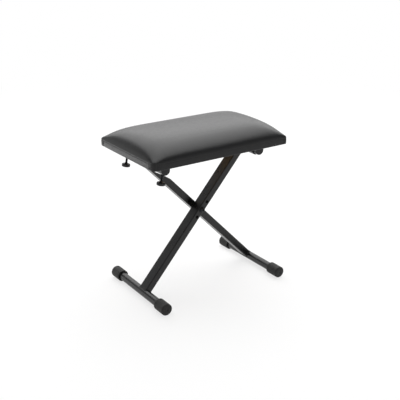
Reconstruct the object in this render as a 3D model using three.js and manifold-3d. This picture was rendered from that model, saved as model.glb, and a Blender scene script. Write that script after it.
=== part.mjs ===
// Folding keyboard bench: two tube legs crossed on a pivot bolt, round cross tubes at their ends,
// and an upholstered seat that turns on one cross tube and is bolted to the other.
// Millimetres, +Z up, +Y to the back. The origin is on the floor under the middle of the bench.
// Inside the bench's group, X is measured from the middle of the seat.

import * as THREE from 'three';
import { mergeVertices } from 'three/addons/utils/BufferGeometryUtils.js';
import Module from 'manifold-3d';

const wasm = await Module();
wasm.setup();

// Clearance between pieces that meet, and how far a cutter runs past what it cuts.
const gap = 0.3;
const overrun = 2;

// Facets round a full circle, and steps along a corner and a rounded edge.
const roundCount = 32;
const smallCount = 16;
const screwCount = 12;
const hexCount = 6;
const cornerSteps = 3;
const edgeSteps = 2;

// Seat pad: its covered size, the height of its underside, its side wall and its crown.
const seat = {
  length: 400,
  width: 260,
  underside: 383,
  cornerRadius: 12,
  wallHeight: 21,
  drawIn: 2,
  crownRise: 35,
  shoulderX: 20,
  shoulderY: 28,
};
const board = { thickness: 12, inset: 4, cornerRadius: 6 };
const hem = { thickness: 1, width: 24, cornerRadius: 8 };

// Points along the sides of the pad's outline, rings up its wall and rings over its crown.
const padSteps = { long: 8, short: 5, corner: 4 };
const wallShares = [[0, 1], [0.18, 0.35], [0.5, 0], [0.85, 0.3]];
const crownInsetShares = [0.02, 0.05, 0.09, 0.15, 0.23, 0.34, 0.5, 0.7, 0.9];
const cornerGrowthShare = 0.3;
const roundestCornerShare = 0.9;

// Rectangular leg tube, and the round tubes across its ends.
const legTube = { width: 32, depth: 19, wall: 1.5, cornerRadius: 3 };
const footTube = { radius: 11, wall: 1.5 };
const topTube = { radius: 12, wall: 1.5, sideInset: 30 };

// How far each leg's foot tube and top tube lie in from the ends of the seat.
const frontInset = { foot: 28.5, top: 63 };
const rearInset = { foot: 7, top: 52.5 };

// Notch that opens the upper side of the rear leg's head and leaves a tongue up to the top tube.
const notch = { length: 100, ramp: 50, tongue: 3.9 };

// Rubber cap on each end of a foot tube, with its radius to the flats, and plug in a top tube.
const footCap = { radius: 15.5, length: 40, floor: 4, halfSpan: 133, dome: 1, edgeRound: 3, lipRound: 1.2 };
const plug = { headThickness: 2, dome: 0.6, edgeRound: 1.2, stemLength: 7 };

// Pivot through both legs, with two more holes in each leg for other seat heights.
const pivot = { holePitch: 24, holeRadius: 4.4, shankRadius: 4, legSpacing: 2, spacerRadius: 11 };
const pivotHead = { radius: 6.5, height: 4.5, socketRadius: 2.7, socketDepth: 2.4 };
const pivotWasher = { radius: 8.5, thickness: 1.6 };
const pivotNut = { radius: 7.5, hexHeight: 5.4, collarRadius: 5.8, height: 7, boltTail: 2 };
const domeShares = [[0.5, 0], [0.85, 0.35], [1, 1]];

// Straps, pads and saddles between the seat board and the top tubes.
const boreClearance = 0.5;
const strap = { thickness: 2, width: 20, flange: 13, endDistance: 25 };
const saddle = { crown: 4, skirt: 6.5, halfLength: 21, halfWidth: 14, bossRadius: 12, bossHeight: 8 };
const bossHeadroom = 1;
const screw = { headRadius: 3.8, headHeight: 2.4, shankRadius: 2, grip: 8, edgeDistance: 4.5 };

// Knob bolts that clamp the rear top tube, shown unscrewed as far as they go in use.
const bolt = { endDistance: 14.5, lean: Math.PI / 18, radius: 3, holeRadius: 3.6, sink: 0.5, chamfer: 0.6 };
const lockNut = { radius: 5.8, height: 5, seatWall: 4.2 };
const knob = { radius: 10, thickness: 8, edgeRound: 2, hubRadius: 5, hubHeight: 5, drop: 39.5, cover: 2 };

// Sizes that follow from the ones above.
const boardUnderside = seat.underside + hem.thickness + gap;
const padHalf = { x: seat.length / 2, y: seat.width / 2 };
const boardHalf = { x: padHalf.x - board.inset, y: padHalf.y - board.inset };
const frontLeg = {
  name: 'front',
  footX: frontInset.foot - padHalf.x,
  topX: padHalf.x - frontInset.top,
  notched: false,
};
const rearLeg = {
  name: 'rear',
  footX: padHalf.x - rearInset.foot,
  topX: rearInset.top - padHalf.x,
  notched: true,
};
const topHalfSpan = padHalf.y - topTube.sideInset;
const strapY = topHalfSpan - strap.endDistance;
const boltY = topHalfSpan - bolt.endDistance;
const boreRadius = topTube.radius + boreClearance;
const bridgeHeight = boreRadius + saddle.crown;
const topAxisHeight = boardUnderside - gap - bridgeHeight;
const footAxisHeight = footCap.radius;
const skirtHeight = boreRadius - saddle.skirt;
const shoulderHeight = bridgeHeight - strap.thickness;
const strapScrewX = boreRadius + strap.thickness + strap.flange / 2;
const saddleScrewX = saddle.halfLength - screw.edgeDistance;
const lockNutFace = boreRadius + lockNut.seatWall;
const legOffset = (legTube.width + pivot.legSpacing) / 2;
const pivotAxis = legCrossing();
const seatOffset = (padHalf.x - rearLeg.footX - footCap.radius) / 2;

// Finishes.
const finish = {
  vinyl: { color: 0x1c1c1d, roughness: 0.42, metalness: 0 },
  plywood: { color: 0x8a6a45, roughness: 0.8, metalness: 0 },
  paint: { color: 0x1b1c1c, roughness: 0.38, metalness: 0 },
  rubber: { color: 0x1e1e1e, roughness: 0.7, metalness: 0 },
  plastic: { color: 0x161616, roughness: 0.5, metalness: 0 },
  blackZinc: { color: 0x2a2b2c, roughness: 0.35, metalness: 0.9 },
};

// Where the centre lines of the two legs cross, seen from the front.
function legCrossing() {
  const rise = topAxisHeight - footAxisHeight;
  const frontRun = (frontLeg.topX - frontLeg.footX) / rise;
  const rearRun = (rearLeg.topX - rearLeg.footX) / rise;
  const height = (rearLeg.footX - frontLeg.footX) / (frontRun - rearRun);
  return { x: frontLeg.footX + frontRun * height, z: footAxisHeight + height };
}

// A mesh as a solid for cutting and joining, without the flat triangles at a turned piece's poles.
function wholeTriangles(index) {
  const triangles = [];
  for (let i = 0; i < index.length; i += 3) {
    const corners = Array.from(index.slice(i, i + 3));
    if (new Set(corners).size === 3) triangles.push(...corners);
  }
  return triangles;
}

function toSolid(geometry) {
  const bare = geometry.clone();
  bare.deleteAttribute('normal');
  bare.deleteAttribute('uv');
  const merged = mergeVertices(bare);
  return new wasm.Manifold(new wasm.Mesh({
    numProp: 3,
    vertProperties: new Float32Array(merged.attributes.position.array),
    triVerts: new Uint32Array(wholeTriangles(merged.index.array)),
  }));
}

function toGeometry(solid) {
  const mesh = solid.getMesh();
  const geometry = new THREE.BufferGeometry();
  geometry.setAttribute('position', new THREE.BufferAttribute(new Float32Array(mesh.vertProperties), 3));
  geometry.setIndex(new THREE.BufferAttribute(new Uint32Array(mesh.triVerts), 1));
  geometry.computeVertexNormals();
  return geometry;
}

function cut(geometry, cutters) {
  return toGeometry(cutters.reduce((rest, cutter) => rest.subtract(toSolid(cutter)), toSolid(geometry)));
}

function join(first, second) {
  return toGeometry(toSolid(first).add(toSolid(second)));
}

// Round pieces along Y: a turned outline of [radius, y] points, a plain rod and a ring.
function turned(points, count) {
  const outline = points.map(([radius, y]) => new THREE.Vector2(radius, y));
  return new THREE.LatheGeometry(outline, count, Math.PI / count);
}

function rod(radius, from, to, count) {
  return turned([[0, from], [radius, from], [radius, to], [0, to]], count);
}

function ring(outer, inner, from, to, count) {
  return turned([[inner, from], [outer, from], [outer, to], [inner, to], [inner, from]], count);
}

function uprightRod(radius, from, to, count) {
  return rod(radius, from, to, count).rotateX(Math.PI / 2);
}

function arcPoints(x, y, radius, from, to, steps) {
  return Array.from({ length: steps + 1 }, (_, step) => {
    const angle = from + (to - from) * step / steps;
    return [x + radius * Math.cos(angle), y + radius * Math.sin(angle)];
  });
}

// Extrusions: up from a plan, along X from an end view, and along Y from a front view.
function upFromPlan(shape, from, to) {
  const options = { depth: to - from, bevelEnabled: false, curveSegments: cornerSteps };
  return new THREE.ExtrudeGeometry(shape, options).translate(0, 0, from);
}

function alongX(shape, from, to) {
  return upFromPlan(shape, from, to).rotateX(Math.PI / 2).rotateZ(Math.PI / 2);
}

function alongY(shape, length) {
  const options = { depth: length, bevelEnabled: false, curveSegments: roundCount / 2 };
  return new THREE.ExtrudeGeometry(shape, options).translate(0, 0, -length / 2).rotateX(Math.PI / 2);
}

function roundedRectangle(halfX, halfY, radius) {
  const shape = new THREE.Shape();
  shape.moveTo(halfX, radius - halfY);
  shape.absarc(halfX - radius, halfY - radius, radius, 0, Math.PI / 2, false);
  shape.absarc(radius - halfX, halfY - radius, radius, Math.PI / 2, Math.PI, false);
  shape.absarc(radius - halfX, radius - halfY, radius, Math.PI, Math.PI * 1.5, false);
  shape.absarc(halfX - radius, radius - halfY, radius, Math.PI * 1.5, Math.PI * 2, false);
  return shape;
}

function piece(name, geometry, look, place = [0, 0, 0]) {
  const mesh = new THREE.Mesh(geometry, new THREE.MeshStandardMaterial(finish[look]));
  mesh.name = name;
  mesh.position.set(...place);
  return mesh;
}

// Height of the pad's crown over its wall, steep at the edge and nearly flat in the middle.
function crownHeight(x, y) {
  const riseX = 1 - Math.exp((Math.abs(x) - padHalf.x) / seat.shoulderX);
  const riseY = 1 - Math.exp((Math.abs(y) - padHalf.y) / seat.shoulderY);
  return seat.underside + seat.wallHeight + seat.crownRise * riseX * riseY;
}

function between(from, to, steps) {
  return Array.from({ length: steps - 1 }, (_, step) => {
    const share = (step + 1) / steps;
    return [from[0] + (to[0] - from[0]) * share, from[1] + (to[1] - from[1]) * share];
  });
}

function padOutline(inset) {
  const halfX = padHalf.x - inset;
  const halfY = padHalf.y - inset;
  const radius = Math.min(seat.cornerRadius + cornerGrowthShare * inset, roundestCornerShare * halfY);
  const arcs = [[1, 1], [-1, 1], [-1, -1], [1, -1]].map(([sideX, sideY], quarter) => {
    const start = quarter * Math.PI / 2;
    const centre = [sideX * (halfX - radius), sideY * (halfY - radius)];
    return arcPoints(...centre, radius, start, start + Math.PI / 2, padSteps.corner);
  });
  return arcs.flatMap((arc, quarter) => {
    const steps = quarter % 2 === 0 ? padSteps.long : padSteps.short;
    return [...arc, ...between(arc.at(-1), arcs[(quarter + 1) % arcs.length][0], steps)];
  });
}

function atHeight(outline, z) {
  return outline.map(([x, y]) => [x, y, z]);
}

function padRings() {
  const wall = wallShares.map(([heightShare, drawInShare]) => (
    atHeight(padOutline(drawInShare * seat.drawIn), seat.underside + heightShare * seat.wallHeight)
  ));
  const crown = crownInsetShares.map((share) => (
    padOutline(share * padHalf.y).map(([x, y]) => [x, y, crownHeight(x, y)])
  ));
  return [...wall, ...crown];
}

function padBlank() {
  const rings = padRings();
  const count = rings[0].length;
  const bottom = rings.length * count;
  const topRing = bottom - count;
  const triangles = [];
  for (let i = 0; i < count; i += 1) {
    const next = (i + 1) % count;
    for (let start = 0; start < topRing; start += count) {
      triangles.push(start + i, start + next, start + count + next);
      triangles.push(start + i, start + count + next, start + count + i);
    }
    triangles.push(bottom, next, i, bottom + 1, topRing + i, topRing + next);
  }
  const points = [...rings.flat(), [0, 0, seat.underside], [0, 0, crownHeight(0, 0)]];
  const geometry = new THREE.BufferGeometry();
  geometry.setAttribute('position', new THREE.Float32BufferAttribute(points.flat(), 3));
  geometry.setIndex(triangles);
  return geometry;
}

function seatCushion() {
  const outline = roundedRectangle(boardHalf.x + gap, boardHalf.y + gap, board.cornerRadius + gap);
  const pocket = upFromPlan(outline, seat.underside - overrun, boardUnderside + board.thickness + gap);
  return piece('seat_cushion', cut(padBlank(), [pocket]), 'vinyl');
}

// Edge of the cover, turned under the board.
function coverHem() {
  const outer = roundedRectangle(boardHalf.x - gap, boardHalf.y - gap, board.cornerRadius);
  const reach = gap + hem.width;
  outer.holes.push(roundedRectangle(boardHalf.x - reach, boardHalf.y - reach, hem.cornerRadius));
  return piece('cover_hem', upFromPlan(outer, seat.underside, seat.underside + hem.thickness), 'vinyl');
}

// Board with pilot holes for the screws and round pockets for the saddles' bosses.
function screwPlaces() {
  const onTube = (tubeX, screwX, placeY) => (
    [[-1, -1], [1, -1], [-1, 1], [1, 1]].map(([sideX, sideY]) => [tubeX + sideX * screwX, sideY * placeY])
  );
  return {
    strap: onTube(frontLeg.topX, strapScrewX, strapY),
    saddle: onTube(rearLeg.topX, saddleScrewX, boltY),
  };
}

function seatBoard() {
  const outline = roundedRectangle(boardHalf.x, boardHalf.y, board.cornerRadius);
  const places = screwPlaces();
  const below = boardUnderside - overrun;
  const pilots = [...places.strap, ...places.saddle].map(([x, y]) => (
    uprightRod(screw.shankRadius + gap, below, boardUnderside + screw.grip, screwCount).translate(x, y, 0)
  ));
  const bossTop = boardUnderside + saddle.bossHeight + bossHeadroom;
  const pockets = [-boltY, boltY].map((y) => (
    uprightRod(saddle.bossRadius + gap, below, bossTop, roundCount).translate(rearLeg.topX, y, 0)
  ));
  const blank = upFromPlan(outline, boardUnderside, boardUnderside + board.thickness);
  return piece('seat_board', cut(blank, [...pilots, ...pockets]), 'plywood');
}

// Strap that carries the seat on the front leg's top tube, so that it turns there.
function strapOutline() {
  const outer = boreRadius + strap.thickness;
  const reach = outer + strap.flange;
  const shape = new THREE.Shape();
  shape.moveTo(-reach, bridgeHeight);
  shape.lineTo(-reach, shoulderHeight);
  shape.lineTo(-outer, shoulderHeight);
  shape.absarc(0, 0, outer, Math.PI, Math.PI * 2, false);
  shape.lineTo(outer, shoulderHeight);
  shape.lineTo(reach, shoulderHeight);
  shape.lineTo(reach, bridgeHeight);
  shape.lineTo(boreRadius, bridgeHeight);
  shape.absarc(0, 0, boreRadius, 0, -Math.PI, true);
  shape.lineTo(-boreRadius, bridgeHeight);
  return shape;
}

function hingeStrap(end, y) {
  const holes = [-strapScrewX, strapScrewX].map((x) => (
    uprightRod(screw.shankRadius + gap, 0, bridgeHeight + overrun, screwCount).translate(x, 0, 0)
  ));
  const geometry = cut(alongY(strapOutline(), strap.width), holes);
  return piece(`hinge_strap_${end}`, geometry, 'paint', [frontLeg.topX, y, topAxisHeight]);
}

// Box that bridges from beside a top tube up to the board, hollowed to sit over the tube.
function bridgeBlock(halfLength, halfWidth) {
  const block = new THREE.BoxGeometry(2 * halfLength, 2 * halfWidth, bridgeHeight - skirtHeight);
  return block.translate(0, 0, (bridgeHeight + skirtHeight) / 2);
}

function bridgeBore(halfWidth) {
  return rod(boreRadius, -halfWidth - overrun, halfWidth + overrun, roundCount);
}

function hingePad(end, y) {
  const halfWidth = strap.width / 2;
  const geometry = cut(bridgeBlock(boreRadius - gap, halfWidth), [bridgeBore(halfWidth)]);
  return piece(`hinge_pad_${end}`, geometry, 'plastic', [frontLeg.topX, y, topAxisHeight]);
}

// Saddle over the bolted tube, with a boss in the board that holds a nut.
function leaningRod(radius, from, to, count) {
  return uprightRod(radius, from, to, count).rotateY(bolt.lean);
}

function lockSaddle(end, y) {
  const bossTop = bridgeHeight + saddle.bossHeight;
  const boss = uprightRod(saddle.bossRadius, shoulderHeight, bossTop, roundCount);
  const screwHoles = [-saddleScrewX, saddleScrewX].map((x) => (
    uprightRod(screw.shankRadius + gap, 0, bossTop, screwCount).translate(x, 0, 0)
  ));
  const geometry = cut(join(bridgeBlock(saddle.halfLength, saddle.halfWidth), boss), [
    bridgeBore(saddle.halfWidth),
    leaningRod(bolt.holeRadius, 0, bossTop, smallCount),
    leaningRod(lockNut.radius + gap, lockNutFace - gap, bossTop + lockNut.radius, hexCount),
    ...screwHoles,
  ]);
  return piece(`lock_saddle_${end}`, geometry, 'plastic', [rearLeg.topX, y, topAxisHeight]);
}

function lockNutPiece(end, y) {
  const body = leaningRod(lockNut.radius, lockNutFace, lockNutFace + lockNut.height, hexCount);
  const thread = leaningRod(bolt.radius + gap, boreRadius, bridgeHeight + lockNutFace, smallCount);
  return piece(`lock_nut_${end}`, cut(body, [thread]), 'blackZinc', [rearLeg.topX, y, topAxisHeight]);
}

// Round-headed wood screws up into the board, each hanging from the face that it clamps.
function woodScrew(name, [x, y], face) {
  const { headRadius, headHeight, shankRadius, grip } = screw;
  const tip = boardUnderside + grip - gap - face;
  const crown = domeShares.map(([radiusShare, heightShare]) => (
    [radiusShare * headRadius, (heightShare - 1) * headHeight - gap]
  ));
  const outline = [
    [0, -headHeight - gap],
    ...crown,
    [shankRadius, -gap],
    [shankRadius, tip - shankRadius],
    [0, tip],
  ];
  const mesh = piece(name, turned(outline, screwCount), 'blackZinc', [x, y, face]);
  mesh.rotation.x = Math.PI / 2;
  return mesh;
}

function seatScrews() {
  const places = screwPlaces();
  const corners = ['near_left', 'near_right', 'far_left', 'far_right'];
  const strapFace = topAxisHeight + shoulderHeight;
  const saddleFace = topAxisHeight + skirtHeight;
  return corners.flatMap((corner, i) => [
    woodScrew(`strap_screw_${corner}`, places.strap[i], strapFace),
    woodScrew(`saddle_screw_${corner}`, places.saddle[i], saddleFace),
  ]);
}

// Rubber cap with a domed end, its mouth towards the middle of the foot tube.
function footCapGeometry() {
  const { length, floor, dome, edgeRound, lipRound, halfSpan } = footCap;
  const cornerRadius = footCap.radius / Math.cos(Math.PI / roundCount);
  const bore = footTube.radius + gap;
  const outline = [
    [0, 0],
    ...arcPoints(cornerRadius - edgeRound, dome + edgeRound, edgeRound, -Math.PI / 2, 0, edgeSteps),
    ...arcPoints(cornerRadius - lipRound, length - lipRound, lipRound, 0, Math.PI / 2, edgeSteps),
    [bore, length],
    [bore, floor],
    [0, floor],
  ];
  return turned(outline, roundCount).translate(0, -halfSpan, 0);
}

function plugGeometry() {
  const { headThickness, dome, edgeRound, stemLength } = plug;
  const stemRadius = topTube.radius - topTube.wall - gap;
  const outline = [
    [0, 0],
    ...arcPoints(topTube.radius - edgeRound, dome + edgeRound, edgeRound, -Math.PI / 2, 0, edgeSteps),
    [topTube.radius, headThickness],
    [stemRadius, headThickness],
    [stemRadius, headThickness + stemLength],
    [0, headThickness + stemLength],
  ];
  return turned(outline, roundCount).translate(0, -topHalfSpan, 0);
}

// Round tube with an end piece at both ends.
function crossTube(name, tube, look, ends, endLook) {
  return [
    piece(`${name}_tube`, tube, look),
    piece(`${name}_${ends.name}_near`, ends.geometry, endLook),
    piece(`${name}_${ends.name}_far`, ends.geometry.clone().rotateX(Math.PI), endLook),
  ];
}

function footPieces(name) {
  const half = footCap.halfSpan - footCap.floor - gap;
  const tube = ring(footTube.radius, footTube.radius - footTube.wall, -half, half, roundCount);
  return crossTube(`${name}_foot`, tube, 'paint', { name: 'cap', geometry: footCapGeometry() }, 'rubber');
}

function topPieces(name, holes) {
  const half = topHalfSpan - plug.headThickness - gap;
  const tube = cut(ring(topTube.radius, topTube.radius - topTube.wall, -half, half, roundCount), holes);
  return crossTube(`${name}_top`, tube, 'paint', { name: 'plug', geometry: plugGeometry() }, 'plastic');
}

function boltHoles() {
  const reach = topTube.radius + overrun;
  return [-boltY, boltY].map((y) => (
    leaningRod(bolt.holeRadius, -reach, reach, smallCount).translate(0, y, 0)
  ));
}

// What is cut away for the notch, seen along Y, with +X up the leg and the tongue left at its +Z side.
function notchCutter(topReach) {
  const outside = -legTube.depth / 2 - overrun;
  const tongueFace = legTube.depth / 2 - notch.tongue;
  const rampStart = topReach - notch.length;
  const slope = (legTube.depth - notch.tongue) / notch.ramp;
  const shape = new THREE.Shape();
  shape.moveTo(rampStart - overrun / slope, outside);
  shape.lineTo(rampStart + notch.ramp, tongueFace);
  shape.lineTo(topReach + overrun, tongueFace);
  shape.lineTo(topReach + overrun, outside);
  return alongY(shape, legTube.width + 2 * overrun);
}

// Leg tube from cross tube to cross tube, its ends hollowed to fit them. +X runs up the leg.
function legTubeGeometry(footReach, topReach, notched) {
  const { width, depth, wall, cornerRadius } = legTube;
  const section = roundedRectangle(width / 2, depth / 2, cornerRadius);
  section.holes.push(roundedRectangle(width / 2 - wall, depth / 2 - wall, cornerRadius - wall));
  const half = width / 2 + overrun;
  const holes = [-pivot.holePitch, 0, pivot.holePitch].map((x) => (
    rod(pivot.holeRadius, -half, half, smallCount).translate(x, 0, 0)
  ));
  return cut(alongX(section, -footReach, topReach), [
    rod(footTube.radius + gap, -half, half, roundCount).translate(-footReach, 0, 0),
    rod(topTube.radius + gap, -half, half, roundCount).translate(topReach, 0, 0),
    ...holes,
    ...(notched ? [notchCutter(topReach)] : []),
  ]);
}

function tubeGroup(x, lean, pieces) {
  const group = new THREE.Group();
  group.position.x = x;
  group.rotation.y = lean;
  group.add(...pieces);
  return group;
}

// One leg with its cross tubes, turned about the pivot from lying along X.
function legFrame(leg, offsetY, topHoles) {
  const lean = Math.atan2(topAxisHeight - footAxisHeight, leg.topX - leg.footX);
  const topReach = Math.hypot(leg.topX - pivotAxis.x, topAxisHeight - pivotAxis.z);
  const footReach = Math.hypot(leg.footX - pivotAxis.x, footAxisHeight - pivotAxis.z);
  const tube = legTubeGeometry(footReach, topReach, leg.notched);
  const group = new THREE.Group();
  group.position.set(pivotAxis.x, 0, pivotAxis.z);
  group.rotation.y = -lean;
  group.add(
    piece(`${leg.name}_leg_tube`, tube, 'paint', [0, offsetY, 0]),
    tubeGroup(-footReach, lean, footPieces(leg.name)),
    tubeGroup(topReach, lean, topPieces(leg.name, topHoles)),
  );
  return group;
}

// Bolt, washers, spacer and lock nut on one axis through both legs.
function pivotPieces() {
  const washerFace = pivot.legSpacing / 2 + legTube.width + gap;
  const headFace = washerFace + pivotWasher.thickness + gap;
  const spacerHalf = pivot.legSpacing / 2 - gap;
  const hole = pivot.shankRadius + gap;
  const washer = ring(pivotWasher.radius, hole, washerFace, headFace - gap, smallCount);
  const spacer = ring(pivot.spacerRadius, hole, -spacerHalf, spacerHalf, roundCount);
  const group = new THREE.Group();
  group.position.set(pivotAxis.x, 0, pivotAxis.z);
  group.add(
    piece('pivot_bolt', pivotBoltGeometry(headFace), 'blackZinc'),
    piece('pivot_washer_near', washer.clone().rotateX(Math.PI), 'blackZinc'),
    piece('pivot_washer_far', washer, 'blackZinc'),
    piece('pivot_spacer', spacer, 'plastic'),
    piece('pivot_nut', pivotNutGeometry(headFace), 'blackZinc'),
  );
  return group;
}

function pivotBoltGeometry(headFace) {
  const crown = -headFace - pivotHead.height;
  const tail = headFace + pivotNut.height + pivotNut.boltTail;
  const dome = domeShares.map(([radiusShare, heightShare]) => (
    [radiusShare * pivotHead.radius, crown + heightShare * pivotHead.height]
  ));
  const shank = pivot.shankRadius;
  const outline = [[0, crown], ...dome, [shank, -headFace], [shank, tail], [0, tail]];
  const socket = rod(pivotHead.socketRadius, crown - overrun, crown + pivotHead.socketDepth, hexCount);
  return cut(turned(outline, smallCount), [socket]);
}

function pivotNutGeometry(face) {
  const hexEnd = face + pivotNut.hexHeight;
  const end = face + pivotNut.height;
  const hex = rod(pivotNut.radius, face, hexEnd, hexCount);
  const collar = rod(pivotNut.collarRadius, face, end, smallCount);
  return cut(join(hex, collar), [rod(pivot.shankRadius + gap, face - overrun, end + overrun, smallCount)]);
}

// Plastic knob on a threaded stud. In both, +Y runs up the stud from the tube's axis.
function knobGeometry() {
  const { radius, thickness, edgeRound, hubRadius, hubHeight, drop, cover } = knob;
  const top = thickness - drop;
  const hubTop = top + hubHeight;
  const bore = bolt.radius + gap;
  const outline = [
    [0, -drop],
    ...arcPoints(radius - edgeRound, edgeRound - drop, edgeRound, -Math.PI / 2, 0, edgeSteps),
    ...arcPoints(radius - edgeRound, top - edgeRound, edgeRound, 0, Math.PI / 2, edgeSteps),
    [hubRadius, top],
    [hubRadius, hubTop],
    [bore, hubTop],
    [bore, cover - drop],
    [0, cover - drop],
  ];
  return turned(outline, roundCount);
}

function studGeometry() {
  const foot = knob.cover + gap - knob.drop;
  const tip = topTube.radius - bolt.sink;
  const outline = [
    [0, foot],
    [bolt.radius, foot],
    [bolt.radius, tip - bolt.chamfer],
    [bolt.radius - bolt.chamfer, tip],
    [0, tip],
  ];
  return turned(outline, smallCount);
}

function knobBolt(end, y) {
  const standing = new THREE.Group();
  standing.rotation.x = Math.PI / 2;
  standing.add(piece(`knob_${end}`, knobGeometry(), 'plastic'));
  standing.add(piece(`knob_stud_${end}`, studGeometry(), 'blackZinc'));
  const leaning = new THREE.Group();
  leaning.position.set(rearLeg.topX, y, topAxisHeight);
  leaning.rotation.y = bolt.lean;
  leaning.add(standing);
  return leaning;
}

const bench = new THREE.Group();
bench.position.x = seatOffset;
bench.add(
  legFrame(frontLeg, -legOffset, []),
  legFrame(rearLeg, legOffset, boltHoles()),
  pivotPieces(),
  seatBoard(),
  seatCushion(),
  coverHem(),
  ...seatScrews(),
);
for (const [end, side] of [['near', -1], ['far', 1]]) {
  bench.add(
    hingeStrap(end, side * strapY),
    hingePad(end, side * strapY),
    lockSaddle(end, side * boltY),
    lockNutPiece(end, side * boltY),
    knobBolt(end, side * boltY),
  );
}

export default bench;
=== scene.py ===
import math

import bmesh
import bpy
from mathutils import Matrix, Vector, noise


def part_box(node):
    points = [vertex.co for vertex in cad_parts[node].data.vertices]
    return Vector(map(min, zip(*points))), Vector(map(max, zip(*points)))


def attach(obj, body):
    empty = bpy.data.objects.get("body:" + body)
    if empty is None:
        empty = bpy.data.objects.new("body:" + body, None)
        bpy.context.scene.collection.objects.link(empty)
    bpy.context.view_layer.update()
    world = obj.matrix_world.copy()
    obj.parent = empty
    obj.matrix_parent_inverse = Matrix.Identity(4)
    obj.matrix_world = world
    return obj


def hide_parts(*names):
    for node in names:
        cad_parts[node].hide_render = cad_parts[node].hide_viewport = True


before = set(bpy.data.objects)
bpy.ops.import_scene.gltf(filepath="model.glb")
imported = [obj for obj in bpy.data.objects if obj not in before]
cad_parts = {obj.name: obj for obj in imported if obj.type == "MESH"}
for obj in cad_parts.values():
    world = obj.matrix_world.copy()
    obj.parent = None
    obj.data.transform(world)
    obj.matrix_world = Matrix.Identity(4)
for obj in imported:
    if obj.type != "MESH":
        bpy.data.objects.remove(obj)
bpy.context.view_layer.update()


# Camera.
# The bench was photographed from its left front corner and from a little above the seat,
# with a short telephoto lens, so its upright lines stay nearly parallel.
camera_data = bpy.data.cameras.new("photo_camera")
camera_data.sensor_width = 36.0
camera_data.lens = 65.86
camera_data.clip_end = 80.0
camera = bpy.data.objects.new("photo_camera", camera_data)
camera.location = (-1.01207, -1.49359, 0.93194)
camera.rotation_euler = (math.radians(68.70), 0, math.radians(-34.49))
bpy.context.scene.collection.objects.link(camera)
bpy.context.scene.camera = camera


# Studio.
# A white sweep with large soft lamps over the seat and at its left end. The white of the ground and
# the backdrop also shows in the gloss of the paint and the vinyl.
def linear(code):
    """An sRGB hex colour in linear light, with full alpha."""
    shares = [int(code[i:i + 2], 16) / 255 for i in (1, 3, 5)]
    return [s / 12.92 if s <= 0.04045 else ((s + 0.055) / 1.055) ** 2.4 for s in shares] + [1.0]


def add_node(tree, kind, inputs=None, **settings):
    """Adds a node. An input is set to a value, or linked to a socket or to a node's first live output."""
    node = tree.nodes.new(kind)
    for name, value in settings.items():
        setattr(node, name, value)
    for name, value in (inputs or {}).items():
        if isinstance(value, bpy.types.Node):
            value = next(socket for socket in value.outputs if socket.enabled)
        if isinstance(value, bpy.types.NodeSocket):
            tree.links.new(value, node.inputs[name])
        else:
            node.inputs[name].default_value = value
    return node


def new_material(name):
    material = bpy.data.materials.new(name)
    material.use_nodes = True
    material.node_tree.nodes.clear()
    return material, material.node_tree


def new_object(name, points, faces, edges=()):
    mesh = bpy.data.meshes.new(name)
    mesh.from_pydata(points, edges, faces)
    mesh.update()
    made = bpy.data.objects.new(name, mesh)
    bpy.context.scene.collection.objects.link(made)
    return made


def seen_directly(tree):
    """1 for rays from the camera and for what shows in gloss and glass, 0 for the light itself."""
    ray = add_node(tree, "ShaderNodeLightPath")
    looked = add_node(tree, "ShaderNodeMath", {
        0: ray.outputs["Is Camera Ray"], 1: ray.outputs["Is Glossy Ray"],
    }, operation="MAXIMUM")
    return add_node(tree, "ShaderNodeMath", {
        0: looked, 1: ray.outputs["Is Transmission Ray"],
    }, operation="MAXIMUM")


ambient_level = 0.32
sweep, tree = new_material("white_paper_sweep")
place = add_node(tree, "ShaderNodeTexCoord")
distance = add_node(tree, "ShaderNodeVectorMath", {0: place.outputs["Object"]}, operation="LENGTH")
whiteness = add_node(tree, "ShaderNodeMapRange", {
    "Value": distance, "From Min": 0.5, "From Max": 2.6, "To Min": 0.72, "To Max": 1.0,
})
seen = seen_directly(tree)
seen = add_node(tree, "ShaderNodeMath", {
    0: seen, 1: whiteness,
}, operation="MULTIPLY")
paper = add_node(tree, "ShaderNodeBsdfDiffuse", {"Color": linear("#f4f4f4")})
glow = add_node(tree, "ShaderNodeEmission", {"Color": linear("#ffffff"), "Strength": 1.0})
mixed = add_node(tree, "ShaderNodeMixShader", {
    "Fac": seen, 1: paper, 2: glow,
})
add_node(tree, "ShaderNodeOutputMaterial", {"Surface": mixed})
reach = 30.0
ground_corners = [(-reach, -reach, 0), (reach, -reach, 0), (reach, reach, 0), (-reach, reach, 0)]
ground = new_object("paper_ground", ground_corners, [(0, 1, 2, 3)])
ground.data.materials.append(sweep)

world = bpy.data.worlds.new("white_studio")
world.use_nodes = True
tree = world.node_tree
tree.nodes.clear()
# The studio's walls are white and its ceiling is dark, as gloss shows it.
direction = add_node(tree, "ShaderNodeTexCoord")
up = add_node(tree, "ShaderNodeSeparateXYZ", {"Vector": direction.outputs["Generated"]})
ceiling = add_node(tree, "ShaderNodeMapRange", {
    "Value": up.outputs["Z"], "From Min": 0.12, "From Max": 0.55, "To Min": 1.0, "To Max": 0.28,
})
ray = add_node(tree, "ShaderNodeLightPath")
whole = add_node(tree, "ShaderNodeMix", {
    0: ray.outputs["Is Camera Ray"], 2: ceiling, 3: 1.0,
})
seen = seen_directly(tree)
level = add_node(tree, "ShaderNodeMix", {
    0: seen, 2: ambient_level, 3: whole,
})
backdrop = add_node(tree, "ShaderNodeBackground", {
    "Color": linear("#ffffff"), "Strength": level,
})
add_node(tree, "ShaderNodeOutputWorld", {"Surface": backdrop})
bpy.context.scene.world = world
bpy.context.scene.view_settings.view_transform = "Standard"


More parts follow.
